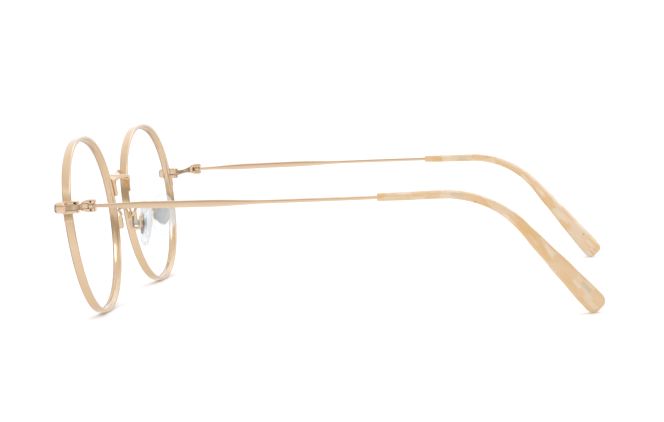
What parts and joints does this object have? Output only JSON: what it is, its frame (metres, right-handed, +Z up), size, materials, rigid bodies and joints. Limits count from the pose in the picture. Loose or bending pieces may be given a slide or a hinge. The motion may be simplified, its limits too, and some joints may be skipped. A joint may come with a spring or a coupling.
{
  "type": "eyeglasses",
  "caption": "Round thin metal full-rim eyeglasses with clear lenses, adjustable silicone nose pads, folding flat-wire temples and marbled acetate temple tips.",
  "frame": {"origin": "centre of the bounding box's foot, on the table the open glasses stand on", "axes": "+Z up, +X towards the wearer's left, -Y out of the front of the lenses, +Y back along the temples"},
  "size_m": [0.1452, 0.1467, 0.0502],
  "materials": {
    "rim_metal": "polished light rose gold plating",
    "bridge_metal": "polished light rose gold plating",
    "end_piece_metal": "polished light rose gold plating",
    "rim_lock_metal": "polished light rose gold plating",
    "temple_metal": "polished light rose gold plating, flattened ribbon",
    "pad_arm_metal": "polished gold plating",
    "pad_box_metal": "polished gold plating",
    "pad_core_metal": "satin grey plate",
    "screw_steel": "turned steel",
    "pin_steel": "turned steel, dark in its hole",
    "lens_clear": "clear, anti-reflection coated, dark at the edge",
    "pad_silicone": "soft clear silicone",
    "tip_acetate": "polished pearly cream and peach marbled acetate"
  },
  "bodies": {
    "front": {"bridge": "bridge_metal", "left_rim": "rim_metal", "left_lens": "lens_clear", "left_end_piece": "end_piece_metal", "left_rim_lock_upper": "rim_lock_metal", "left_rim_lock_lower": "rim_lock_metal", "left_rim_lock_screw": "screw_steel", "left_hinge_pin": "pin_steel", "left_pad_arm": "pad_arm_metal", "left_pad_box": "pad_box_metal", "left_pad_screw": "screw_steel", "right_rim": "rim_metal", "right_lens": "lens_clear", "right_end_piece": "end_piece_metal", "right_rim_lock_upper": "rim_lock_metal", "right_rim_lock_lower": "rim_lock_metal", "right_rim_lock_screw": "screw_steel", "right_hinge_pin": "pin_steel", "right_pad_arm": "pad_arm_metal", "right_pad_box": "pad_box_metal", "right_pad_screw": "screw_steel"},
    "left_temple_body": {"left_temple": "temple_metal", "left_temple_tip": "tip_acetate"},
    "right_temple_body": {"right_temple": "temple_metal", "right_temple_tip": "tip_acetate"},
    "left_pad_body": {"left_nose_pad": "pad_silicone", "left_pad_core": "pad_core_metal"},
    "right_pad_body": {"right_nose_pad": "pad_silicone", "right_pad_core": "pad_core_metal"}
  },
  "joints": [
    {"name": "left_temple_fold", "type": "hinge", "parent": "front", "child": "left_temple_body", "pos_m": [0.0655, -0.06057, 0.0332], "axis": [0, 0, 1], "range_deg": [0, 88]},
    {"name": "right_temple_fold", "type": "hinge", "parent": "front", "child": "right_temple_body", "pos_m": [-0.0655, -0.06057, 0.0332], "axis": [0, 0, -1], "range_deg": [0, 83]},
    {"name": "left_pad_rock", "type": "hinge", "parent": "front", "child": "left_pad_body", "pos_m": [0.0127, -0.06207, 0.0232], "axis": [0, 1, 0], "range_deg": [-8, 8]},
    {"name": "right_pad_rock", "type": "hinge", "parent": "front", "child": "right_pad_body", "pos_m": [-0.0116, -0.06097, 0.0232], "axis": [-0.6561, 0.7547, 0], "range_deg": [-8, 8]}
  ]
}
